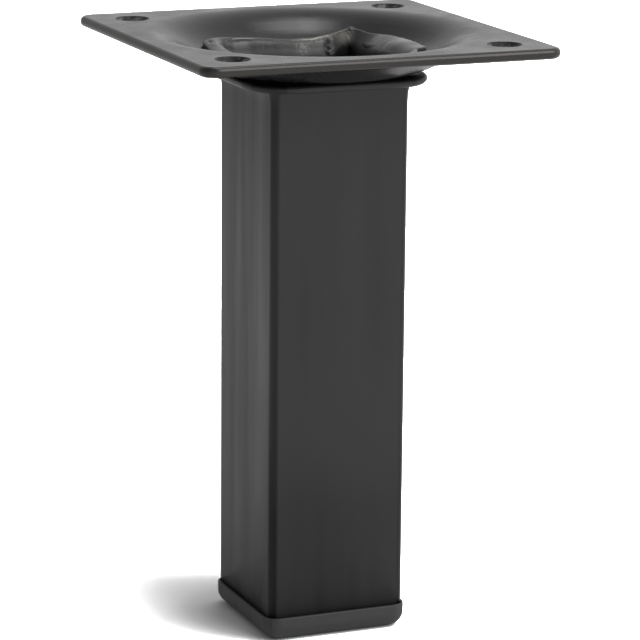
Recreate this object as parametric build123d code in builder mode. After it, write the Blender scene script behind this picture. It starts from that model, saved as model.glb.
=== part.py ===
from build123d import *
import os
from math import atan2, cos, degrees, radians, sin

# A short square furniture leg: a dished mounting plate, a square steel tube
# whose upper end is beaded below the plate and flared over it, and a plastic
# foot cap pushed into the lower end. The origin is at the middle of the foot,
# on the floor. Right is +X, back is +Y, and the plate is square to the tube.

# Driving dimensions, in millimetres
leg_height = 150.0
tube_width = 36.0
tube_wall = 1.0
tube_corner_radius = 2.0

plate_width = 92.0
plate_thickness = 2.5
plate_corner_radius = 4.0
plate_edge_roll = 1.1
screw_spacing = 70.0
screw_hole_radius = 2.7
countersink_radius = 4.4
countersink_angle = 90.0

dish_rim_radius = 41.9
dish_depth = 6.8
dish_roll_radius = 15.8
dish_wall_angle = 31.8
dish_bowl_radius = 17.9

bead_width = 48.0
bead_corner_radius = 12.0
bead_thickness = 2.0
bead_root = 5.2
waist_height = 4.5
waist_reach = 1.0

cap_width = 38.0
cap_height = 6.0
cap_corner_radius = 4.0
cap_sole_radius = 3.8
cap_edge_radius = 0.3
cap_floor = 3.0
groove_depth = 1.2
groove_clearance = 0.25

plug_width = 31.0
plug_corner_radius = 2.0
plug_wall = 2.0
plug_height = 15.0
fin_thickness = 1.4
fin_land = 0.5
fin_taper = 35.0
fin_count = 3

seam_offset = 10.5
seam_radius = 0.6
seam_height = 0.35
seam_notch_width = 2.0
seam_notch_depth = 0.6

# The tube's end stands straight for a rise above the dish's floor, curls
# outwards with a radius through an angle, and ends in a straight length.
# Each entry is (rise, curl radius, curl angle in degrees, length), for the
# four corners and for the middle of the four sides.
corner_lips = {
    "back right": (0.3, 3.0, 8.0, 3.2),
    "back left": (0.85, 2.4, 105.0, 1.2),
    "front left": (0.3, 1.8, 78.0, 2.2),
    "front right": (0.3, 2.2, 55.0, 3.9),
}
side_lips = {
    "right": (0.0, 1.8, 70.0, 5.1),
    "back": (0.0, 2.0, 40.0, 0.5),
    "left": (0.0, 1.8, 80.0, 2.9),
    "front": (0.0, 1.8, 78.0, 2.6),
}

# Heights and widths that follow from them
plate_underside = leg_height - plate_thickness
dish_floor_top = leg_height - dish_depth
bead_top = dish_floor_top - plate_thickness
bead_bottom = bead_top - bead_thickness
waist_bottom = bead_bottom - waist_height
tube_bottom = cap_height - groove_depth
plug_top = tube_bottom + plug_height
bore_width = tube_width - 2 * tube_wall
bore_corner_radius = tube_corner_radius - tube_wall

# The wall of the dish rolls over the rim, runs straight down at its angle,
# and turns back on the bowl's arc to the level floor.
dish_arcs_depth = (dish_roll_radius + dish_bowl_radius) * (1 - cos(radians(dish_wall_angle)))
dish_wall_length = (dish_depth - dish_arcs_depth) / sin(radians(dish_wall_angle))

# The waist leans outwards on one arc, as far as the bead's lower face.
waist_turn = 2 * degrees(atan2(waist_reach, waist_height))
waist_radius = waist_height / sin(radians(waist_turn))

SIDE_TURNS = {"right": 0, "back": 90, "left": 180, "front": 270}
SIDE_ENDS = {
    "right": ("front right", "back right"),
    "back": ("back right", "back left"),
    "left": ("back left", "front left"),
    "front": ("front left", "front right"),
}


def side_plane(turn, along, width):
    """Upright plane across the wall of a square, width wide, that is centred on the tube's axis.

    The plane's x points outwards from the side's face and its y points up.
    """
    outwards = Vector(1, 0, 0).rotate(Axis.Z, turn)
    sideways = Vector(0, 1, 0).rotate(Axis.Z, turn)
    origin = outwards * (width / 2) + sideways * along
    return Plane(origin=origin, x_dir=outwards, z_dir=-sideways)


def corner_axis(turn, width, corner_radius):
    """Upright axis of the rounded corner that ends the side at this turn."""
    middle = width / 2 - corner_radius
    return Axis(Vector(middle, middle, 0).rotate(Axis.Z, turn), (0, 0, 1))


def wrap_around(section, width, corner_radius):
    """Run one section round a square with rounded corners."""
    straight = width / 2 - corner_radius
    for turn in SIDE_TURNS.values():
        extrude(section(side_plane(turn, 0, width)), amount=straight, both=True)
        corner_section = section(side_plane(turn, straight, width))
        revolve(corner_section, corner_axis(turn, width, corner_radius), revolution_arc=90)


def dish_section(below):
    """Half section of the dish under the plate's upper face, or under its lower one."""
    rim_height = leg_height - below
    with BuildSketch(Plane.XZ) as section:
        with BuildLine():
            rim_start = (dish_rim_radius, rim_height)
            rim = JernArc(rim_start, (-1, 0), dish_roll_radius - below, dish_wall_angle)
            wall = PolarLine(rim @ 1, dish_wall_length, direction=rim % 1)
            bowl = JernArc(wall @ 1, rim % 1, dish_bowl_radius + below, -dish_wall_angle)
            Polyline(bowl @ 1, (0, (bowl @ 1).Y), (0, rim_height), rim @ 0)
        make_face()
    return section.sketch


def waist_section(plane):
    """Section of the wall that leans out to the bead, with the crease of the fold inside."""
    with BuildSketch(plane) as section:
        with BuildLine():
            outer = JernArc((0, waist_bottom), (0, 1), waist_radius, -waist_turn)
            inner = JernArc((-tube_wall, waist_bottom), (0, 1), waist_radius + tube_wall, -waist_turn)
            Polyline(outer @ 1, ((outer @ 1).X, bead_top), (-tube_wall, bead_top), inner @ 1)
            Line(inner @ 0, outer @ 0)
        make_face()
    return section.sketch


def bead_section(plane):
    """Section of the folded bead, with a fully round edge."""
    edge = bead_thickness / 2
    with BuildSketch(plane) as section:
        with BuildLine():
            bottom = Line((-bead_root, bead_bottom), (-edge, bead_bottom))
            top = Line((-edge, bead_top), (-bead_root, bead_top))
            ThreePointArc(bottom @ 1, (0, bead_bottom + edge), top @ 0)
            Line(top @ 1, bottom @ 0)
        make_face()
    return section.sketch


def lip_section(plane, rise, curl_radius, curl_angle, length):
    """Section of the tube's end, from the bead up through the plate and out to its round tip."""
    curl_start = dish_floor_top + rise
    with BuildSketch(plane) as section:
        with BuildLine():
            outer_wall = Line((0, bead_top), (0, curl_start))
            outer_curl = JernArc(outer_wall @ 1, (0, 1), curl_radius - tube_wall / 2, -curl_angle)
            outer_end = PolarLine(outer_curl @ 1, length, direction=outer_curl % 1)
            inner_wall = Line((-tube_wall, bead_top), (-tube_wall, curl_start))
            inner_curl = JernArc(inner_wall @ 1, (0, 1), curl_radius + tube_wall / 2, -curl_angle)
            inner_end = PolarLine(inner_curl @ 1, length, direction=inner_curl % 1)
            tip = (outer_end @ 1 + inner_end @ 1) / 2 + (outer_curl % 1) * (tube_wall / 2)
            ThreePointArc(outer_end @ 1, tip, inner_end @ 1)
            Line(inner_wall @ 0, outer_wall @ 0)
        make_face()
    return section.sketch


with BuildPart() as mounting_plate:
    # Blank with both edges rounded over
    with BuildSketch(Plane.XY.offset(plate_underside)):
        RectangleRounded(plate_width, plate_width, plate_corner_radius)
    extrude(amount=plate_thickness)
    fillet(mounting_plate.edges().filter_by(Axis.Z, reverse=True), plate_edge_roll)
    # Dish, as its lower side added and its hollow taken away
    revolve(dish_section(plate_thickness), Axis.Z)
    revolve(dish_section(0), Axis.Z, mode=Mode.SUBTRACT)
    # Square hole for the neck of the tube
    with BuildSketch(Plane.XY.offset(bead_top)):
        RectangleRounded(tube_width, tube_width, tube_corner_radius)
    extrude(amount=plate_thickness * 2, mode=Mode.SUBTRACT)
    # Countersunk screw holes
    with Locations(Plane.XY.offset(leg_height)):
        with GridLocations(screw_spacing, screw_spacing, 2, 2):
            CounterSinkHole(
                screw_hole_radius, countersink_radius, plate_thickness, countersink_angle
            )
mounting_plate.part.label = "mounting_plate"


with BuildPart() as leg_tube:
    # Straight tube
    with BuildSketch(Plane.XY.offset(tube_bottom)):
        RectangleRounded(tube_width, tube_width, tube_corner_radius)
        RectangleRounded(bore_width, bore_width, bore_corner_radius, mode=Mode.SUBTRACT)
    extrude(amount=waist_bottom - tube_bottom)
    # Waist and bead below the plate
    wrap_around(waist_section, tube_width, tube_corner_radius)
    wrap_around(bead_section, bead_width, bead_corner_radius)
    # Flared end: each corner turns one section, each side runs between two of them
    straight = tube_width / 2 - tube_corner_radius
    for side, turn in SIDE_TURNS.items():
        near_corner, far_corner = SIDE_ENDS[side]
        near_section = lip_section(side_plane(turn, -straight, tube_width), *corner_lips[near_corner])
        middle_section = lip_section(side_plane(turn, 0, tube_width), *side_lips[side])
        far_section = lip_section(side_plane(turn, straight, tube_width), *corner_lips[far_corner])
        loft([near_section, middle_section, far_section])
        revolve(far_section, corner_axis(turn, tube_width, tube_corner_radius), revolution_arc=90)
    # Weld seam inside the back wall
    seam_centre = bore_width / 2 + seam_radius - seam_height
    for low, high in ((tube_bottom, waist_bottom), (bead_top, dish_floor_top)):
        with BuildSketch(Plane.XY.offset(low)):
            with Locations((seam_offset, seam_centre)):
                Circle(seam_radius)
        extrude(amount=high - low)
leg_tube.part.label = "leg_tube"


with BuildPart() as foot_cap:
    # Head with a rounded sole, and a groove that takes the tube's end
    with BuildSketch():
        RectangleRounded(cap_width, cap_width, cap_corner_radius)
    extrude(amount=cap_height)
    fillet(foot_cap.faces().sort_by(Axis.Z)[0].edges(), cap_sole_radius)
    fillet(foot_cap.faces().sort_by(Axis.Z)[-1].edges(), cap_edge_radius)
    groove_width = tube_width + 2 * groove_clearance
    groove_corner_radius = tube_corner_radius + groove_clearance
    with BuildSketch(Plane.XY.offset(tube_bottom)):
        RectangleRounded(groove_width, groove_width, groove_corner_radius)
    extrude(amount=groove_depth, mode=Mode.SUBTRACT)
    # Plug inside the tube, with fins that grip the bore
    with BuildSketch(Plane.XY.offset(tube_bottom)):
        RectangleRounded(plug_width, plug_width, plug_corner_radius)
    extrude(amount=plug_height)
    fin_step = plug_height / (fin_count + 0.5)
    for fin in range(fin_count):
        fin_bottom = tube_bottom + fin_step * (fin + 0.75)
        with BuildSketch(Plane.XY.offset(fin_bottom)):
            RectangleRounded(bore_width, bore_width, bore_corner_radius)
        extrude(amount=fin_land)
        with BuildSketch(Plane.XY.offset(fin_bottom + fin_land)):
            RectangleRounded(bore_width, bore_width, bore_corner_radius)
        extrude(amount=fin_thickness - fin_land, taper=fin_taper)
    # Notch in the fins for the tube's weld seam
    with BuildSketch(Plane.XY.offset(tube_bottom)):
        with Locations((seam_offset, bore_width / 2)):
            Rectangle(seam_notch_width, 2 * seam_notch_depth)
    extrude(amount=plug_height, mode=Mode.SUBTRACT)
    # Hollow of the plug
    hollow_width = plug_width - 2 * plug_wall
    with BuildSketch(Plane.XY.offset(cap_floor)):
        RectangleRounded(hollow_width, hollow_width, plug_corner_radius / 2)
    extrude(amount=plug_top - cap_floor, mode=Mode.SUBTRACT)
foot_cap.part.label = "foot_cap"


os.makedirs("parts", exist_ok=True)
export_step(mounting_plate.part, "parts/mounting_plate.step")
export_step(leg_tube.part, "parts/leg_tube.step")
export_step(foot_cap.part, "parts/foot_cap.step")
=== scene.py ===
# %% [markdown]
# A short square furniture leg of black coated steel: a pressed mounting plate with a round dish, a square
# tube that is crimped through the dish, and a plastic cap on the foot. The solids come from the
# construction model. This file dresses them, one piece at a time, and photographs the leg in a plain
# studio.

# %% Load the construction model
import math
import bmesh
import bpy
from mathutils import Matrix, Vector, noise


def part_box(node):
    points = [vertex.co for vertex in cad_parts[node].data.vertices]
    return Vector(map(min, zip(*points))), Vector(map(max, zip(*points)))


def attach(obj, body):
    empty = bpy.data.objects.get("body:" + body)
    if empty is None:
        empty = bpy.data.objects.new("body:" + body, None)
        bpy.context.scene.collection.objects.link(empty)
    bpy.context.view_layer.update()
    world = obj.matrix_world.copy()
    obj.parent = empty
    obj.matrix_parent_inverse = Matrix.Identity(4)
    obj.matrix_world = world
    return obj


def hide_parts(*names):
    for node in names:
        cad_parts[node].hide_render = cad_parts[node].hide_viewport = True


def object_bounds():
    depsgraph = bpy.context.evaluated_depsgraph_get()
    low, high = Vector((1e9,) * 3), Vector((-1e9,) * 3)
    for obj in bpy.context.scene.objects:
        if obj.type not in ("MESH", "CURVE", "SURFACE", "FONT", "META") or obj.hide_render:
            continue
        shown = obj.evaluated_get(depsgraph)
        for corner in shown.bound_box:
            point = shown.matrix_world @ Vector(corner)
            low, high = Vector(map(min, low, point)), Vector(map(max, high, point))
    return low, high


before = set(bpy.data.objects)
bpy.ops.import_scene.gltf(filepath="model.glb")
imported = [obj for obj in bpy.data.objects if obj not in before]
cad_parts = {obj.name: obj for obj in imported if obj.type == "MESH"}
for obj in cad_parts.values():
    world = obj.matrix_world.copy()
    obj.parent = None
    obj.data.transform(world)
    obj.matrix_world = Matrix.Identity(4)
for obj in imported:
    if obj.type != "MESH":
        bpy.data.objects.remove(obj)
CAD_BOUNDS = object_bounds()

MM = 0.001
print("nodes:", sorted(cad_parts))
print("box in mm:", [[round(v / MM, 2) for v in corner] for corner in CAD_BOUNDS])

# %% [markdown]
# The camera stands where the photographer's stood: low in front of the leg, a little to the left, far
# enough away that the upright edges stay nearly parallel. A long lens gives that flat, catalogue-like
# perspective. A short lens close by would show the same side of the leg, but its edges would run together
# downwards.

# %% Measure the camera's place
CAMERA_AZIMUTH = math.radians(-22.676)
CAMERA_ELEVATION = math.radians(13.365)
CAMERA_ROLL = math.radians(0.516)
CAMERA_DISTANCE = 0.850247
CAMERA_ASIDE = 0.00273
CAMERA_RAISED = 0.074935

camera_back = Vector((
    math.sin(CAMERA_AZIMUTH) * math.cos(CAMERA_ELEVATION),
    -math.cos(CAMERA_AZIMUTH) * math.cos(CAMERA_ELEVATION),
    math.sin(CAMERA_ELEVATION),
))
level_right = Vector((math.cos(CAMERA_AZIMUTH), math.sin(CAMERA_AZIMUTH), 0.0))
level_up = camera_back.cross(level_right)
camera_right = level_right * math.cos(CAMERA_ROLL) + level_up * math.sin(CAMERA_ROLL)
camera_up = level_up * math.cos(CAMERA_ROLL) - level_right * math.sin(CAMERA_ROLL)
camera_place = camera_back * CAMERA_DISTANCE + camera_right * CAMERA_ASIDE + camera_up * CAMERA_RAISED
print("camera at", [round(v, 4) for v in camera_place])

# %% Place the camera
CAMERA_LENS = 186.697
SENSOR_WIDTH = 36.0
NEAREST_SEEN = 0.01
FARTHEST_SEEN = 50.0

scene = bpy.context.scene
camera = bpy.data.objects.new("camera", bpy.data.cameras.new("camera"))
camera.data.lens = CAMERA_LENS
camera.data.sensor_width = SENSOR_WIDTH
camera.data.clip_start = NEAREST_SEEN
camera.data.clip_end = FARTHEST_SEEN
camera.matrix_world = Matrix.Translation(camera_place) @ Matrix(
    (camera_right, camera_up, camera_back)).transposed().to_4x4()
scene.collection.objects.link(camera)
scene.camera = camera
print("lens of", CAMERA_LENS, "mm")

# %% [markdown]
# The leg was photographed on white, with its blacks still open. One light setting can't give both, because
# a floor bright enough to be white would wash out the coat. A tone curve can: it leaves the dark greys as
# they are and lifts everything brighter than the leg quickly to white.

# %% Set the tone curve
COMBINED_CURVE = 3
TONE_STEPS = ((0.35, 0.35), (0.41, 0.5))
TONE_WHITE = 0.5

scene.view_settings.view_transform = "Standard"
scene.view_settings.look = "None"
scene.view_settings.use_curve_mapping = True
tone = scene.view_settings.curve_mapping.curves[COMBINED_CURVE].points
for grey, shown in TONE_STEPS:
    tone.new(grey, shown)
tone[-1].location = (TONE_WHITE, 1.0)
scene.view_settings.curve_mapping.update()
print("tone curve:", [[round(v, 2) for v in point.location] for point in tone])

# %% [markdown]
# A catalogue studio is one large pale sweep. Here it is a plane so wide that the camera sees nothing else
# behind the leg. It lies a tenth of a millimetre below the cap's sole, so that the two faces never flicker
# through each other.

# %% Lay the floor
FLOOR_SIZE = 12.0
FLOOR_GREY = 0.86
FLOOR_HEIGHT = -0.1 * MM


def plain_material(name, grey, roughness):
    """A material of one shader, for the stage."""
    material = bpy.data.materials.new(name)
    material.use_nodes = True
    shader = material.node_tree.nodes["Principled BSDF"]
    shader.inputs["Base Color"].default_value = (grey, grey, grey, 1.0)
    shader.inputs["Roughness"].default_value = roughness
    shader.inputs["Specular IOR Level"].default_value = 0.0
    return material


floor_mesh = bpy.data.meshes.new("studio_floor")
floor_bm = bmesh.new()
bmesh.ops.create_grid(floor_bm, x_segments=1, y_segments=1, size=FLOOR_SIZE / 2)
bmesh.ops.translate(floor_bm, vec=(0.0, 0.0, FLOOR_HEIGHT), verts=floor_bm.verts[:])
floor_bm.to_mesh(floor_mesh)
floor_bm.free()
floor_mesh.materials.append(plain_material("studio_paper", FLOOR_GREY, roughness=1.0))
floor = bpy.data.objects.new("studio_floor", floor_mesh)
scene.collection.objects.link(floor)
print("floor", FLOOR_SIZE, "m wide")

# %% [markdown]
# A black coat shows hardly any colour of its own: what the eye reads as its shape is the room mirrored in
# it. So the sky is not one even grey. It is brighter on the right and at the horizon, and dimmer on the
# left and overhead. A few maths nodes make that slope from the direction of view, where a picture of a real
# room would bring its windows along.

# %% Slope the sky
SKY_MIDDLE = 0.76
SKY_TO_THE_RIGHT = 0.37
SKY_UPWARDS = -0.36
SKY_LEAST = 0.25

world = bpy.data.worlds.new("studio_sky")
world.use_nodes = True
sky = world.node_tree
direction = sky.nodes.new("ShaderNodeTexCoord")
slope = sky.nodes.new("ShaderNodeVectorMath")
slope.operation = "DOT_PRODUCT"
slope.inputs[1].default_value = (SKY_TO_THE_RIGHT, 0.0, SKY_UPWARDS)
raised = sky.nodes.new("ShaderNodeMath")
raised.operation = "ADD"
raised.inputs[1].default_value = SKY_MIDDLE
limited = sky.nodes.new("ShaderNodeMath")
limited.operation = "MAXIMUM"
limited.inputs[1].default_value = SKY_LEAST
background = sky.nodes["Background"]
background.inputs["Color"].default_value = (1.0, 1.0, 1.0, 1.0)
sky.links.new(direction.outputs["Generated"], slope.inputs[0])
sky.links.new(slope.outputs["Value"], raised.inputs[0])
sky.links.new(raised.outputs["Value"], limited.inputs[0])
sky.links.new(limited.outputs["Value"], background.inputs["Strength"])
scene.world = world
print("horizon from", SKY_MIDDLE - SKY_TO_THE_RIGHT, "to", SKY_MIDDLE + SKY_TO_THE_RIGHT)

# %% [markdown]
# Two large soft lamps do the rest. One is almost overhead and gives the far wall of the dish its soft light
# patch. The other stands in front on the right, above the camera, and lights the flared lip and the inner
# wall of the tube. A small lamp would leave a hard spark in the coat instead of a soft sheen.

# %% Hang the lamps
def soft_lamp(name, azimuth, elevation, distance, size, radiance):
    """A square lamp seen from the plate at an azimuth from +Y towards +X and an elevation, in degrees."""
    turn = math.radians(azimuth)
    rise = math.radians(elevation)
    towards = Vector((math.sin(turn) * math.cos(rise), math.cos(turn) * math.cos(rise), math.sin(rise)))
    data = bpy.data.lights.new(name, "AREA")
    data.size = size
    data.energy = radiance * math.pi * size * size
    lamp = bpy.data.objects.new(name, data)
    place = Vector((0.0, 0.0, CAD_BOUNDS[1].z)) + towards * distance
    lamp.matrix_world = Matrix.Translation(place) @ towards.to_track_quat("Z", "Y").to_matrix().to_4x4()
    scene.collection.objects.link(lamp)
    print(name, "at", [round(v, 3) for v in place], "power", round(data.energy, 2))


soft_lamp("overhead_lamp", azimuth=48.0, elevation=75.0, distance=1.5, size=0.64, radiance=3.9)
soft_lamp("key_lamp", azimuth=145.0, elevation=36.0, distance=1.2, size=1.0, radiance=3.7)

# %% [markdown]
# Powder coat is a baked skin of melted plastic grains. It is nearly black, a little uneven in gloss, and
# its surface has a fine orange peel. A picture of such a coat would stretch over the corners and show its
# seams. A noise on the object's own coordinates has neither fault, and stays fixed to the steel from every
# side. It drives only the colour, the roughness and a very small bump, because an export keeps just those.

# %% Start a coat
def coated_material(name):
    """A new material with only its output and one Principled shader."""
    material = bpy.data.materials.new(name)
    material.use_nodes = True
    tree = material.node_tree
    shader = tree.nodes["Principled BSDF"]
    return material, tree, shader


def node(tree, kind, **values):
    """A new node, with its named inputs set."""
    made = tree.nodes.new(kind)
    for key, value in values.items():
        made.inputs[key.replace("_", " ")].default_value = value
    return made


# %% Lay a noise on the object's own coordinates
NOISE_HARSHNESS = 0.55
EVEN = (1.0, 1.0, 1.0)


def object_noise(tree, cells, detail=2.0, stretch=EVEN):
    """Noise on object coordinates, with so many cells in a metre, times a stretch along each axis."""
    where = tree.nodes.new("ShaderNodeTexCoord")
    mapping = node(tree, "ShaderNodeMapping", Scale=[cells * along for along in stretch])
    pattern = node(tree, "ShaderNodeTexNoise", Scale=1.0, Detail=detail, Roughness=NOISE_HARSHNESS)
    tree.links.new(where.outputs["Object"], mapping.inputs["Vector"])
    tree.links.new(mapping.outputs["Vector"], pattern.inputs["Vector"])
    return pattern.outputs["Fac"]


# %% Turn grey values into other grey values
NOISE_RANGE = (0.3, 0.7)


def remap(tree, source, low, high, source_range=NOISE_RANGE):
    """Maps a grey value from its own range to the range between two others."""
    start, finish = source_range
    made = node(tree, "ShaderNodeMapRange", From_Min=start, From_Max=finish, To_Min=low, To_Max=high)
    tree.links.new(source, made.inputs["Value"])
    return made.outputs["Result"]


def beyond(tree, source, fade):
    """Zero before a fade's start and one after its end."""
    return remap(tree, source, 0.0, 1.0, fade)


def within(tree, source, fade):
    """One before a fade's start and zero after its end."""
    return remap(tree, source, 1.0, 0.0, fade)


def combine(tree, operation, first, second):
    """Joins two grey values by a maths operation; the second can be a plain number."""
    made = tree.nodes.new("ShaderNodeMath")
    made.operation = operation
    tree.links.new(first, made.inputs[0])
    if isinstance(second, float):
        made.inputs[1].default_value = second
    else:
        tree.links.new(second, made.inputs[1])
    return made.outputs["Value"]


# %% Mix colours and raise a bump
FIRST_COLOUR = 6
SECOND_COLOUR = 7
MIXED_COLOUR = 2


def blend_colours(tree, factor, first, second):
    """Mixes two colours by a factor; each colour is a tuple or a socket."""
    made = tree.nodes.new("ShaderNodeMix")
    made.data_type = "RGBA"
    tree.links.new(factor, made.inputs["Factor"])
    for socket, colour in ((made.inputs[FIRST_COLOUR], first), (made.inputs[SECOND_COLOUR], second)):
        if isinstance(colour, tuple):
            socket.default_value = (*colour, 1.0)
        else:
            tree.links.new(colour, socket)
    return made.outputs[MIXED_COLOUR]


def add_bump(tree, shader, height, strength, depth):
    """A bump of a real depth in metres, on the shader's normal."""
    bump = node(tree, "ShaderNodeBump", Strength=strength, Distance=depth)
    tree.links.new(height, bump.inputs["Height"])
    tree.links.new(bump.outputs["Normal"], shader.inputs["Normal"])


# %% Find a place on the surface
def folded_place(tree):
    """The object coordinates without their signs, so that one corner's marks appear on all four."""
    where = tree.nodes.new("ShaderNodeTexCoord")
    absolute = tree.nodes.new("ShaderNodeVectorMath")
    absolute.operation = "ABSOLUTE"
    tree.links.new(where.outputs["Object"], absolute.inputs[0])
    return absolute.outputs["Vector"]


def place_parts(tree):
    """The folded coordinates, as sockets of their own."""
    parts = tree.nodes.new("ShaderNodeSeparateXYZ")
    tree.links.new(folded_place(tree), parts.inputs["Vector"])
    return parts.outputs


def distance_between(tree, place, spot):
    """How far a place is from a spot on the object, in metres."""
    apart = tree.nodes.new("ShaderNodeVectorMath")
    apart.operation = "DISTANCE"
    apart.inputs[1].default_value = spot
    tree.links.new(place, apart.inputs[0])
    return apart.outputs["Value"]


# %% [markdown]
# The plate's coat is semi-gloss. On the rolled edge it lies thin and looks a little brown. The countersinks
# are painted dark as painted shade, with a few light spots that are painted glints, and the holes in them are
# painted black as a painted shadow. Such marks could be painted by hand on an unwrapped plate. Here they need
# no unwrapping, because they follow from the plate's own sizes: the edge is told by its distance from the
# middle, and a countersink by its distance from a screw's axis.

# %% Sizes and colours of the plate's marks
PLATE_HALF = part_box("mounting_plate")[1].x
ROLLED_EDGE = (PLATE_HALF - 1.5 * MM, PLATE_HALF - 0.7 * MM)
SCREW_SPACING = 70.0 * MM
SINK_RADIUS = 4.4 * MM
HOLE_SHADE_RADIUS = 3.2 * MM
SINK_FADE = 0.5 * MM

PLATE_DARK = (0.0105, 0.0095, 0.0115)
PLATE_LIGHT = (0.0155, 0.0142, 0.0165)
EDGE_BROWN = (0.027, 0.0235, 0.021)
# Painted shade for the countersinks, painted glints for their light spots, and a painted shadow for the
# holes.
SINK_PAINTED_SHADE = (0.008, 0.008, 0.008)
SINK_PAINTED_GLINT = (0.11, 0.108, 0.105)
HOLE_PAINTED_SHADOW = (0.0005, 0.0005, 0.0005)
print("rolled edge in mm:", [round(v / MM, 2) for v in ROLLED_EDGE])


# %% Mix the plate's semi-gloss coat
PATCH_CELLS = 90.0
PLATE_GRAIN_CELLS = 1500.0
GLINT_CELLS = 420.0
GLINT_RANGE = (0.50, 0.60)
PLATE_ROUGHNESS = (0.22, 0.30)
SINK_ROUGHER = 0.05
HOLE_ROUGHER = 0.5
PLATE_PEEL = 0.1
PEEL_DEPTH = 0.02 * MM


def near_screw(tree, radius):
    """One within a radius of the axes of the four screw holes, and zero on the rest of the plate."""
    flat = tree.nodes.new("ShaderNodeVectorMath")
    flat.operation = "MULTIPLY"
    flat.inputs[1].default_value = (1.0, 1.0, 0.0)
    tree.links.new(folded_place(tree), flat.inputs[0])
    axis = (SCREW_SPACING / 2, SCREW_SPACING / 2, 0.0)
    return within(tree, distance_between(tree, flat.outputs["Vector"], axis), (radius - SINK_FADE, radius))


def plate_coat():
    """Nearly black and semi-gloss, with a thin brown edge, painted shade and painted glints in the
    countersinks, and a painted shadow in the holes.
    """
    material, tree, shader = coated_material("plate_coat")
    patches = object_noise(tree, PATCH_CELLS, detail=3.0)
    parts = place_parts(tree)
    rolled = beyond(tree, combine(tree, "MAXIMUM", parts["X"], parts["Y"]), ROLLED_EDGE)
    sunk = near_screw(tree, SINK_RADIUS)
    shadowed_hole = near_screw(tree, HOLE_SHADE_RADIUS)
    # This noise places the painted glints in the countersinks.
    painted_glints = beyond(tree, object_noise(tree, GLINT_CELLS), GLINT_RANGE)
    colour = blend_colours(tree, patches, PLATE_DARK, PLATE_LIGHT)
    colour = blend_colours(tree, rolled, colour, EDGE_BROWN)
    # The countersinks get painted shade with painted glints, and the holes get a painted shadow.
    colour = blend_colours(tree, sunk, colour, blend_colours(tree, painted_glints, SINK_PAINTED_SHADE, SINK_PAINTED_GLINT))
    colour = blend_colours(tree, shadowed_hole, colour, HOLE_PAINTED_SHADOW)
    tree.links.new(colour, shader.inputs["Base Color"])
    roughness = remap(tree, patches, *PLATE_ROUGHNESS)
    roughness = combine(tree, "ADD", roughness, combine(tree, "MULTIPLY", sunk, SINK_ROUGHER))
    roughness = combine(tree, "ADD", roughness, combine(tree, "MULTIPLY", shadowed_hole, HOLE_ROUGHER))
    tree.links.new(roughness, shader.inputs["Roughness"])
    add_bump(tree, shader, object_noise(tree, PLATE_GRAIN_CELLS), PLATE_PEEL, PEEL_DEPTH)
    return material


# %% Dress a node of the construction model
def dress(name, material):
    """Gives a node one material in all its slots."""
    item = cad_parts[name]
    if not item.material_slots:
        item.data.materials.append(material)
    for place in item.material_slots:
        place.material = material
    print(name, "wears", material.name, "of", len(material.node_tree.nodes), "nodes")


dress("mounting_plate", plate_coat())

# %% [markdown]
# The cap is moulded in one piece of matt black plastic. Its faces are a little mottled, as moulded plastic
# often is, and its rounded corners are painted darker as painted shade. It gets a coat of the same kind as
# the plate's, with a finer and deeper grain and hardly any gloss.

# %% Mix the cap's moulded plastic
MOTTLE_CELLS = 500.0
CAP_GRAIN_CELLS = 2600.0
CAP_CORNER_FADE = (17.4 * MM, 17.9 * MM)
CAP_DARK = (0.036, 0.036, 0.038)
CAP_LIGHT = (0.053, 0.053, 0.056)
# The darker corner colour is painted shade.
CAP_CORNER_PAINTED_SHADE = (0.021, 0.021, 0.021)
CAP_ROUGHNESS = (0.5, 0.62)
CAP_PEEL = 0.35
CAP_PEEL_DEPTH = 0.03 * MM


def near_corner(tree, fade):
    """One on the rounded corners of a square piece and zero on its flat sides."""
    parts = place_parts(tree)
    lesser = combine(tree, "MINIMUM", parts["X"], parts["Y"])
    return beyond(tree, lesser, fade)


def foot_plastic():
    """Matt black and mottled, with painted shade on the corners."""
    material, tree, shader = coated_material("foot_plastic")
    mottle = object_noise(tree, MOTTLE_CELLS, detail=3.0)
    colour = blend_colours(tree, mottle, CAP_DARK, CAP_LIGHT)
    # Painted shade on the rounded corners.
    colour = blend_colours(tree, near_corner(tree, CAP_CORNER_FADE), colour, CAP_CORNER_PAINTED_SHADE)
    tree.links.new(colour, shader.inputs["Base Color"])
    tree.links.new(remap(tree, mottle, *CAP_ROUGHNESS), shader.inputs["Roughness"])
    add_bump(tree, shader, object_noise(tree, CAP_GRAIN_CELLS), CAP_PEEL, CAP_PEEL_DEPTH)
    return material


dress("foot_cap", foot_plastic())

# %% [markdown]
# The tube's coat is satin, with faint upright streaks. It is painted lighter towards the foot as painted
# light, and painted almost black on the rounded corners and quite black in the gap above the cap as painted
# shade.
# A noise that is stretched along the tube makes the streaks, and fades along its height and width make the
# rest.

# %% Sizes and colours of the tube's painted wall
STREAK_CELLS = 160.0
STREAK_STRETCH = (1.0, 1.0, 0.06)
# The wall is painted lighter towards the foot as painted light.
PAINTED_FOOT_LIGHT_FADE = (8.0 * MM, 85.0 * MM)
TUBE_CORNER_FADE = (16.0 * MM, 16.7 * MM)
CAP_GAP = (5.2 * MM, 5.8 * MM)

# The lower colours are painted light. The near black is painted shade on the corners and in the gap above the
# cap.
UPPER_DARK = (0.009, 0.0088, 0.009)
UPPER_LIGHT = (0.034, 0.033, 0.0325)
PAINTED_LIT_FOOT_DARK = (0.033, 0.0315, 0.032)
PAINTED_LIT_FOOT_LIGHT = (0.054, 0.0515, 0.052)
PAINTED_SHADE_BLACK = (0.001, 0.001, 0.001)


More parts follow.
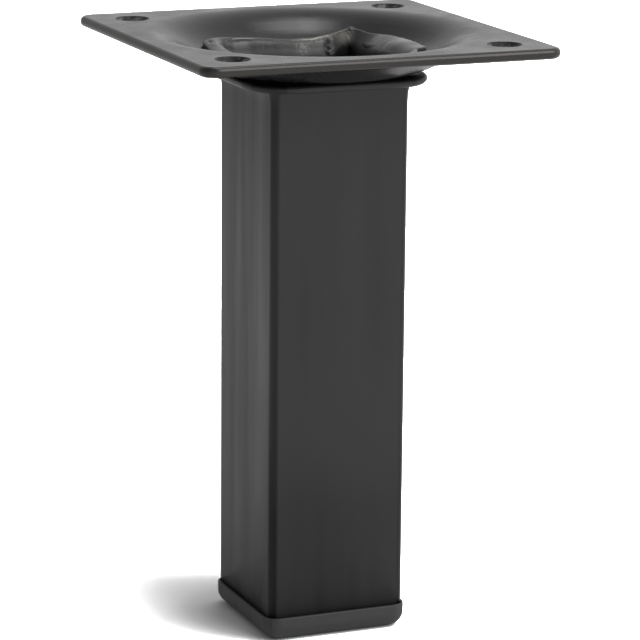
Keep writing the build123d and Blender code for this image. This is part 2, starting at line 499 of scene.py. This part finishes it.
def painted_wall(tree, height, streaks):
    """The colour of the tube's outer wall, with painted light towards the foot and painted shade on the
    corners and above the cap.
    """
    upper = blend_colours(tree, streaks, UPPER_DARK, UPPER_LIGHT)
    # The lighter foot is painted light. The near black on the corners and above the cap is painted shade.
    painted_lit_foot = blend_colours(tree, streaks, PAINTED_LIT_FOOT_DARK, PAINTED_LIT_FOOT_LIGHT)
    colour = blend_colours(tree, beyond(tree, height, PAINTED_FOOT_LIGHT_FADE), painted_lit_foot, upper)
    colour = blend_colours(tree, near_corner(tree, TUBE_CORNER_FADE), colour, PAINTED_SHADE_BLACK)
    return blend_colours(tree, within(tree, height, CAP_GAP), colour, PAINTED_SHADE_BLACK)


# %% [markdown]
# The flared end had a harder life than the wall. The top of the lip is painted a lighter grey as a painted
# sheen, and the wall inside it is rough and speckled. The steel is bare at the torn knots of the back corner,
# with painted light on the lit facet round them, and at a burnt spot near the weld; a painted highlight lies
# along the back rim. Each mark is a distance from a spot or a fade along one axis, broken up by a fine
# speckle, because a clean edge would look like a sticker.

# %% Sizes and colours of the lip's coat
SPECKLE_CELLS = 1500.0
CRIMP = (142.6 * MM, 144.2 * MM)
FLARE_SIDEWAYS = (17.0 * MM, 17.6 * MM)
FLARE_BACKWARDS = (17.7 * MM, 18.6 * MM)
INNER_SPECKLE = (0.42, 0.58)

INNER_DARK = (0.010, 0.010, 0.010)
INNER_LIGHT = (0.045, 0.044, 0.042)
# The lighter grey of the flared lip is a painted sheen.
SHEEN_PAINTED_DARK = (0.044, 0.044, 0.047)
SHEEN_PAINTED_LIGHT = (0.070, 0.069, 0.072)
BARE_STEEL_AND_HIGHLIGHT = (0.165, 0.16, 0.145)


def lip_paint(tree, speckle, flared):
    """The colour of the lip, speckled on the wall inside it and painted lighter where it is flared, as a
    painted sheen.
    """
    wall = blend_colours(tree, beyond(tree, speckle, INNER_SPECKLE), INNER_DARK, INNER_LIGHT)
    painted_sheen = blend_colours(tree, speckle, SHEEN_PAINTED_DARK, SHEEN_PAINTED_LIGHT)
    return blend_colours(tree, flared, wall, painted_sheen)


# %% Find the bare steel and the painted highlights
# Round the knots the light steel colour is partly bare steel and partly painted light on the lit facet.
KNOTS_AT = (15.8 * MM, 17.5 * MM, 145.7 * MM)
KNOTS_FADE = (0.8 * MM, 2.9 * MM)
KNOTS_BARE_AND_LIT = 0.8
BURN_AT = (4.0 * MM, 17.2 * MM, 143.2 * MM)
BURN_FADE = (1.0 * MM, 2.4 * MM)
BURN_SPECKLE = (0.44, 0.56)
BURN_BARE = 0.7
# Along the back rim the light steel colour is a painted highlight.
RIM_HIGHLIGHT_STARTS = (1.0 * MM, 7.0 * MM)
RIM_HIGHLIGHT_ENDS = (16.5 * MM, 18.0 * MM)
RIM_HIGHLIGHT_EDGE = (18.1 * MM, 18.7 * MM)
RIM_HIGHLIGHT_SPECKLE = (0.40, 0.55)
RIM_HIGHLIGHT_LEAST = 0.5


def distance_from(tree, spot):
    """How far a point of the surface is from a spot on the object, in metres."""
    where = tree.nodes.new("ShaderNodeTexCoord")
    return distance_between(tree, where.outputs["Object"], spot)


def painted_rim_highlight(tree):
    """One on the right half of the back rim, where a highlight is painted."""
    where = tree.nodes.new("ShaderNodeTexCoord")
    parts = tree.nodes.new("ShaderNodeSeparateXYZ")
    tree.links.new(where.outputs["Object"], parts.inputs["Vector"])
    started = beyond(tree, parts.outputs["X"], RIM_HIGHLIGHT_STARTS)
    not_ended = within(tree, parts.outputs["X"], RIM_HIGHLIGHT_ENDS)
    rim = beyond(tree, parts.outputs["Y"], RIM_HIGHLIGHT_EDGE)
    return combine(tree, "MULTIPLY", combine(tree, "MULTIPLY", started, not_ended), rim)


def bare_steel_and_highlights(tree, speckle, crimped):
    """How light the steel colour is: bare steel and painted light at the knots, a painted highlight on the
    back rim, and bare steel at the burn.
    """
    # The knots' spot is bare steel plus painted light on the lit facet. The rim's spot is a painted
    # highlight.
    knots = remap(tree, distance_from(tree, KNOTS_AT), KNOTS_BARE_AND_LIT, 0.0, KNOTS_FADE)
    rim_highlight = combine(tree, "MULTIPLY", painted_rim_highlight(tree), remap(tree, speckle, RIM_HIGHLIGHT_LEAST, 1.0, RIM_HIGHLIGHT_SPECKLE))
    burnt = combine(tree, "MULTIPLY", within(tree, distance_from(tree, BURN_AT), BURN_FADE),
                    remap(tree, speckle, 0.0, BURN_BARE, BURN_SPECKLE))
    on_the_lip = combine(tree, "MULTIPLY", combine(tree, "MAXIMUM", knots, rim_highlight), crimped)
    return combine(tree, "MAXIMUM", on_the_lip, burnt)


# %% Mix the tube's satin coat
TUBE_GRAIN_CELLS = 1800.0
TUBE_ROUGHNESS = (0.31, 0.50)
FLARE_SMOOTHER = 0.18
INNER_ROUGHER = 0.30
TUBE_PEEL = 0.2


def tube_roughness(tree, streaks, crimped, flared):
    """Satin on the wall, smoother where the lip is flared and rougher on the wall inside it."""
    smoother = combine(tree, "MULTIPLY", combine(tree, "MULTIPLY", crimped, flared), FLARE_SMOOTHER)
    rougher = combine(tree, "MULTIPLY", combine(tree, "SUBTRACT", crimped, flared), INNER_ROUGHER)
    roughness = combine(tree, "SUBTRACT", remap(tree, streaks, *TUBE_ROUGHNESS), smoother)
    return combine(tree, "ADD", roughness, combine(tree, "MAXIMUM", rougher, 0.0))


def tube_coat():
    """Streaked satin black below, with painted light and shade, and the worn coat of the lip above, with a
    painted sheen and painted highlights.
    """
    material, tree, shader = coated_material("tube_coat")
    parts = place_parts(tree)
    streaks = object_noise(tree, STREAK_CELLS, detail=3.0, stretch=STREAK_STRETCH)
    speckle = object_noise(tree, SPECKLE_CELLS, detail=4.0)
    crimped = beyond(tree, parts["Z"], CRIMP)
    flared = combine(tree, "MAXIMUM", beyond(tree, parts["X"], FLARE_SIDEWAYS),
                     beyond(tree, parts["Y"], FLARE_BACKWARDS))
    wall = painted_wall(tree, parts["Z"], streaks)
    # The lip's lighter grey is a painted sheen. The light steel colour holds painted highlights as well as
    # bare steel.
    colour = blend_colours(tree, crimped, wall, lip_paint(tree, speckle, flared))
    colour = blend_colours(tree, bare_steel_and_highlights(tree, speckle, crimped), colour, BARE_STEEL_AND_HIGHLIGHT)
    tree.links.new(colour, shader.inputs["Base Color"])
    tree.links.new(tube_roughness(tree, streaks, crimped, flared), shader.inputs["Roughness"])
    add_bump(tree, shader, object_noise(tree, TUBE_GRAIN_CELLS), TUBE_PEEL, PEEL_DEPTH)
    return material


tube_material = tube_coat()
print(tube_material.name, "of", len(tube_material.node_tree.nodes), "nodes")

# %% [markdown]
# The tube is one piece of welded square section, and its upper end is where the work is. A press folds
# the wall into a flat bead that carries the plate from below. The end that stands up through the plate is
# then flared over it, and because steel tears and wrinkles when it is flared, the lip is uneven: a long
# flap on the right, a standing point at the back corner, and a plump rolled lobe at the left corner.
#
# A revolved or lofted surface would be too regular for that, and a sculpted one hard to repeat. Here the
# tube grows ring by ring: one rounded square is extruded again and again, up the outside, round the lip's
# edge and down the inside. Each ring only says where its vertices go, so the lip can follow a short table
# of stations.

# %% Sizes of the tube
TUBE_HALF = 18.0 * MM
TUBE_CORNER = 2.0 * MM
STRAIGHT = TUBE_HALF - TUBE_CORNER
WALL = 1.0 * MM
BORE_HALF = TUBE_HALF - WALL
BORE_CORNER = TUBE_CORNER - WALL
TUBE_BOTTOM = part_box("leg_tube")[0].z
WAIST_BOTTOM = 134.1 * MM
WAIST_REACH = 1.0 * MM
BEAD_BOTTOM = 138.7 * MM
BEAD_TOP = 140.7 * MM
BEAD_HALF = 24.0 * MM
BEAD_CORNER = 12.0 * MM
BEAD_EDGE = (BEAD_TOP - BEAD_BOTTOM) / 2
BEAD_UNDER = 1.2 * MM
DISH_FLOOR = 143.2 * MM
print("tube from", round(TUBE_BOTTOM / MM, 2), "mm, bead at", round(BEAD_BOTTOM / MM, 2), "mm")


# %% Place a vertex of a wall ring
def nearest_straight(home):
    """The point of the inner square that a vertex of the first ring belongs to."""
    return Vector([math.copysign(min(abs(v), STRAIGHT), v) for v in home])


def wall_ring(half, corner, height):
    """A ring on a square of this half width and corner radius."""
    def place(home):
        anchor = nearest_straight(home)
        across = anchor * ((half - corner) / STRAIGHT) + (home - anchor) * (corner / TUBE_CORNER)
        return Vector((across.x, across.y, height))
    return place


# %% [markdown]
# The lip is told by stations around the tube, as a boat's hull is told by its frames. Each station gives,
# in this order: its turn from +X in degrees; the tip's reach and height in millimetres, and its lean in
# degrees from upright; the lengths in millimetres of the outer curve's handles at the root and at the tip;
# how far below the dish's floor the inner face starts to lean; and the length of the inner curve's handle
# at its root. Stations stand close together where the lip is torn or rolled, and far apart where it only
# bends.

# %% The stations of the lip
LIP_STATIONS = (
    (0.0, 5.2, 3.6, 86.0, 2.8, 4.6, 2.6, 4.4),
    (17.0, 4.3, 3.5, 80.0, 2.4, 3.2, 2.8, 3.2),
    (31.0, 3.2, 3.1, 60.0, 2.0, 2.0, 2.8, 2.2),
    (39.0, 1.9, 3.2, 42.0, 1.6, 1.4, 1.8, 1.4),
    (43.5, 1.1, 3.6, 26.0, 1.5, 1.2, 0.2, 1.2),
    (45.5, 0.9, 3.8, 20.0, 1.5, 1.2, -0.6, 0.6),
    (47.5, 0.9, 3.4, 34.0, 1.4, 0.8, -1.6, 0.3),
    (50.0, 0.95, 3.0, 40.0, 1.2, 0.8, -0.6, 0.3),
    (53.0, 1.2, 2.6, 50.0, 1.1, 0.9, 0.6, 0.3),
    (57.0, 1.6, 2.1, 61.0, 1.0, 1.8, 3.0, 0.3),
    (66.0, 1.7, 1.6, 62.0, 1.0, 2.3, 3.0, 0.3),
    (82.0, 1.6, 1.5, 66.0, 0.9, 2.2, 3.0, 0.3),
    (98.0, 1.4, 1.8, 80.0, 0.9, 2.0, 3.0, 0.3),
    (114.0, 1.5, 2.4, 80.0, 1.2, 2.0, 3.0, 0.3),
    (127.0, 2.2, 2.6, 76.0, 1.8, 1.6, 2.6, 1.6),
    (131.0, 3.0, 2.6, 98.0, 2.8, 2.6, 2.2, 3.0),
    (135.5, 4.1, 2.45, 114.0, 3.6, 3.0, 2.0, 4.6),
    (140.0, 4.5, 2.0, 114.0, 3.2, 3.0, 2.0, 4.4),
    (150.0, 4.8, 1.5, 106.0, 2.4, 2.6, 1.6, 3.6),
    (165.0, 4.4, 1.2, 96.0, 1.6, 2.0, 1.2, 2.6),
    (180.0, 4.0, 1.5, 86.0, 1.4, 1.8, 1.2, 2.4),
    (225.0, 3.2, 2.2, 84.0, 1.6, 1.6, 1.2, 2.4),
    (270.0, 3.6, 1.9, 84.0, 1.6, 1.6, 1.2, 2.4),
    (300.0, 3.2, 2.3, 84.0, 1.8, 1.6, 1.4, 2.6),
    (312.0, 2.2, 2.8, 72.0, 1.8, 1.4, 1.4, 2.8),
    (318.6, 2.2, 3.2, 78.0, 2.0, 1.6, 1.6, 3.0),
    (320.2, 5.0, 3.4, 88.0, 3.0, 4.2, 2.0, 4.2),
    (328.0, 5.7, 3.4, 89.0, 3.2, 5.0, 2.2, 4.6),
    (343.0, 5.6, 3.6, 88.0, 3.2, 5.2, 2.2, 5.0),
)
print(len(LIP_STATIONS), "stations")


# %% Read the lip between two stations
FULL_TURN = 360.0


def station(index):
    """A station by its number, which may run on past the last or back before the first."""
    count = len(LIP_STATIONS)
    turn, *values = LIP_STATIONS[index % count]
    return turn + FULL_TURN * (index // count), *values


def lip_at(home):
    """The stations' values above a vertex of the first ring, on a smooth curve, with the lean in radians."""
    turn = math.degrees(math.atan2(home.y, home.x)) % FULL_TURN
    low = max(index for index in range(len(LIP_STATIONS)) if station(index)[0] <= turn)
    before, first, last, after = (station(index) for index in (low - 1, low, low + 1, low + 2))
    span = last[0] - first[0]
    share = (turn - first[0]) / span
    values = []
    for w, a, b, z in zip(before[1:], first[1:], last[1:], after[1:]):
        rise_in = (b - w) / (last[0] - before[0]) * span
        rise_out = (z - a) / (after[0] - first[0]) * span
        ends = a * (2.0 * share ** 3 - 3.0 * share ** 2 + 1.0) + b * (3.0 * share ** 2 - 2.0 * share ** 3)
        values.append(ends + rise_in * (share ** 3 - 2.0 * share ** 2 + share)
                      + rise_out * (share ** 3 - share ** 2))
    reach, height, lean, *lengths = values
    return turn, reach, height, math.radians(lean), *lengths


# %% [markdown]
# Forming leaves marks that are too small for the stations: the rough bead of the weld inside the tube, a
# few knots of torn steel on the standing point, and a pit in the rolled lobe. A bump in the coat would be
# lost with the coat, and would cast no shadow. So each mark is a small smooth hill, added to the face
# itself.

# %% Raise the forming marks
LUMP_SIZE = 0.75 * MM
LIP_LENGTH = 4.0 * MM
KNOT_TURN = 47.0
KNOT_SPREAD = 2.2
KNOT_SHARE = 0.9
KNOT_LENGTH = 0.25
KNOT_HEIGHT = 0.6
KNOT_LEAST = 0.4
SEAM_ASIDE = 11.3
SEAM_WIDTH = 0.8
SEAM_HEIGHT = 0.42
SEAM_LUMPS = 0.9
SEAM_ENDS = 0.25
PIT_TURN = 138.5
PIT_SPREAD = 1.1
PIT_SHARE = 0.84
PIT_LENGTH = 0.06
PIT_DEPTH = 0.5
OUTSIDE = 1
ROUND_THE_EDGE = 0
INSIDE = -1


def hill(offset, width):
    """A smooth hill of height one, for a small feature at this offset from its middle."""
    return math.exp(-(offset / width) ** 2)


def blemish(home, turn, share, side):
    """How far, in millimetres, the forming marks raise the face: the weld seam, the knots and a small pit."""
    spot = Vector((home.x, home.y, share * LIP_LENGTH * (2 - side)))
    lumps = noise.noise(spot / LUMP_SIZE)
    knots = KNOT_HEIGHT * hill(turn - KNOT_TURN, KNOT_SPREAD) * hill(share - KNOT_SHARE, KNOT_LENGTH)
    knots *= KNOT_LEAST + lumps
    seam = 0.0
    pit = 0.0
    if side < OUTSIDE and home.y > STRAIGHT:
        seam = hill(home.x / MM - SEAM_ASIDE, SEAM_WIDTH) * (SEAM_HEIGHT + SEAM_LUMPS * lumps)
        seam *= min(1.0, (1.0 - share) / SEAM_ENDS)
    if side < OUTSIDE:
        pit = -PIT_DEPTH * hill(turn - PIT_TURN, PIT_SPREAD) * hill(share - PIT_SHARE, PIT_LENGTH)
    return knots + seam + pit


# %% Place a vertex of the lip
RAGGED_SIZE = 1.9 * MM
RAGGED_HEIGHT = 0.15
MARKS_START = 0.25


def curve_point(share, root, root_handle, tip_handle, tip):
    """A point of the Bezier curve from the root to the tip."""
    back = 1.0 - share
    return (root * back ** 3 + root_handle * (3.0 * share * back ** 2)
            + tip_handle * (3.0 * share ** 2 * back) + tip * share ** 3)


def lip_ring(share, side):
    """A ring of the lip at a share of its height, or at a share of the way round its edge."""
    def place(home):
        turn, reach, height, lean, root_length, tip_length, depth, inner_length = lip_at(home)
        ragged = noise.noise(Vector((home.x, home.y, 0.0)) / RAGGED_SIZE) * RAGGED_HEIGHT
        forward = Vector((math.sin(lean), math.cos(lean)))
        across = Vector((math.cos(lean), -math.sin(lean)))
        tip = Vector((reach, height)) + forward * ragged
        half = WALL / 2 / MM
        if side == ROUND_THE_EDGE:
            away = across * math.cos(math.pi * share) + forward * math.sin(math.pi * share)
            spot = tip + away * (half + blemish(home, turn, 1.0, side))
        else:
            root = Vector((0.0, 0.0)) if side == OUTSIDE else Vector((-2 * half, -depth))
            rim = tip + across * (half * side)
            upright = root_length if side == OUTSIDE else inner_length
            raised = blemish(home, turn, share, side) * min(1.0, share / MARKS_START)
            spot = curve_point(share, root, root + Vector((0.0, upright)), rim - forward * tip_length, rim)
            slope = across.lerp(Vector((1.0, 0.0)), 1.0 - share).normalized()
            spot += slope * (raised * side)
        outwards = (home - nearest_straight(home)).normalized()
        level = home + outwards * (spot.x * MM)
        return Vector((level.x, level.y, DISH_FLOOR + spot.y * MM))
    return place


# %% [markdown]
# The rings run from the tube's lower end up the outside: the wall, the waist that leans out to the bead,
# the bead's rounded edge, the neck through the plate and the lip. They go round the lip's edge and come
# down the inside: the lip again, the narrow slit that the fold leaves inside the bead, and the bore.

# %% List the rings of the outside
WAIST_STEPS = 8
BEAD_STEPS = 10
LIP_STEPS = 20


def shares(count):
    """Even steps from just above zero to one."""
    return [(step + 1) / count for step in range(count)]


tube_rings = [wall_ring(TUBE_HALF, TUBE_CORNER, z) for z in (TUBE_BOTTOM, WAIST_BOTTOM)]
for share in shares(WAIST_STEPS):
    waist_out = WAIST_REACH * (1.0 - math.cos(share * math.pi / 2))
    waist_height = WAIST_BOTTOM + (BEAD_BOTTOM - WAIST_BOTTOM) * math.sin(share * math.pi / 2)
    tube_rings.append(wall_ring(TUBE_HALF + waist_out, TUBE_CORNER + waist_out, waist_height))
for share in [0.0] + shares(BEAD_STEPS):
    edge_out = BEAD_EDGE * (math.sin(share * math.pi) - 1.0)
    part = BEAD_UNDER if share < 0.5 else BEAD_TOP - BEAD_BOTTOM - BEAD_UNDER
    edge_height = BEAD_BOTTOM + BEAD_UNDER - part * math.cos(share * math.pi)
    tube_rings.append(wall_ring(BEAD_HALF + edge_out, BEAD_CORNER + edge_out, edge_height))
tube_rings += [wall_ring(TUBE_HALF, TUBE_CORNER, z) for z in (BEAD_TOP, DISH_FLOOR)]
tube_rings += [lip_ring(share, OUTSIDE) for share in shares(LIP_STEPS)]
print(len(tube_rings), "rings outside")

# %% List the rings of the edge and the inside
EDGE_STEPS = 6
SLIT_DEPTH = 0.5 * MM
SLIT_TOP = BEAD_TOP - 0.7 * MM
SLIT_MIDDLE = BEAD_TOP - BEAD_EDGE
SLIT_BOTTOM = BEAD_BOTTOM + 0.6 * MM

tube_rings += [lip_ring(share, ROUND_THE_EDGE) for share in shares(EDGE_STEPS)]
tube_rings += [lip_ring(1.0 - share, INSIDE) for share in shares(LIP_STEPS)]
tube_rings.append(wall_ring(BORE_HALF, BORE_CORNER, SLIT_TOP))
tube_rings.append(wall_ring(BORE_HALF + SLIT_DEPTH, BORE_CORNER + SLIT_DEPTH, SLIT_MIDDLE))
tube_rings += [wall_ring(BORE_HALF, BORE_CORNER, z) for z in (SLIT_BOTTOM, WAIST_BOTTOM, TUBE_BOTTOM)]
print(len(tube_rings), "rings in all")


# %% Draw the first ring
SIDE_CUTS = 79
CORNER_SEGMENTS = 24


def first_ring(bm):
    """A rounded square as a loop of edges, cut fine enough to follow the lip."""
    bmesh.ops.create_grid(bm, x_segments=1, y_segments=1, size=TUBE_HALF)
    bmesh.ops.bevel(bm, geom=bm.verts[:], offset=TUBE_CORNER, offset_type="OFFSET", affect="VERTICES",
                    segments=CORNER_SEGMENTS, profile=0.5, material=-1)
    sides = [edge for edge in bm.edges if edge.calc_length() > STRAIGHT]
    bmesh.ops.subdivide_edges(bm, edges=sides, cuts=SIDE_CUTS)
    bmesh.ops.delete(bm, geom=bm.faces[:], context="FACES_ONLY")
    return bm.edges[:]


tube_bm = bmesh.new()
home_x, home_y = (tube_bm.verts.layers.float.new(name) for name in ("home_x", "home_y"))
ring = first_ring(tube_bm)
for vert in tube_bm.verts:
    vert[home_x], vert[home_y] = vert.co.x, vert.co.y
    vert.co = tube_rings[0](vert.co.xy)
print("first ring:", len(ring), "edges")


# %% Grow the tube
def grow(bm, ring, place):
    """Extrudes a ring and puts each new vertex where the next ring says."""
    grown = bmesh.ops.extrude_edge_only(bm, edges=ring)["geom"]
    verts = {item for item in grown if isinstance(item, bmesh.types.BMVert)}
    for vert in verts:
        vert.co = place(Vector((vert[home_x], vert[home_y])))
    return [item for item in grown if isinstance(item, bmesh.types.BMEdge) and set(item.verts) <= verts]


for place in tube_rings[1:]:
    ring = grow(tube_bm, ring, place)
lower_rings = [edge for edge in tube_bm.edges if edge.is_boundary]
bmesh.ops.bridge_loops(tube_bm, edges=lower_rings)
bmesh.ops.recalc_face_normals(tube_bm, faces=tube_bm.faces[:])
print("tube:", len(tube_bm.faces), "faces, open edges:", sum(not edge.is_manifold for edge in tube_bm.edges))


# %% Make the mesh a piece
def finish_piece(bm, name, material, node_name):
    """Writes a bmesh to an object that stands in for a node of the construction model."""
    mesh = bpy.data.meshes.new(name)
    for face in bm.faces:
        face.smooth = True
    bm.to_mesh(mesh)
    bm.free()
    mesh.materials.append(material)
    piece = bpy.data.objects.new(name, mesh)
    scene.collection.objects.link(piece)
    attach(piece, "root")
    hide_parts(node_name)
    print(name, [round(v / MM, 2) for v in piece.dimensions])


finish_piece(tube_bm, "crimped_tube", tube_material, "leg_tube")
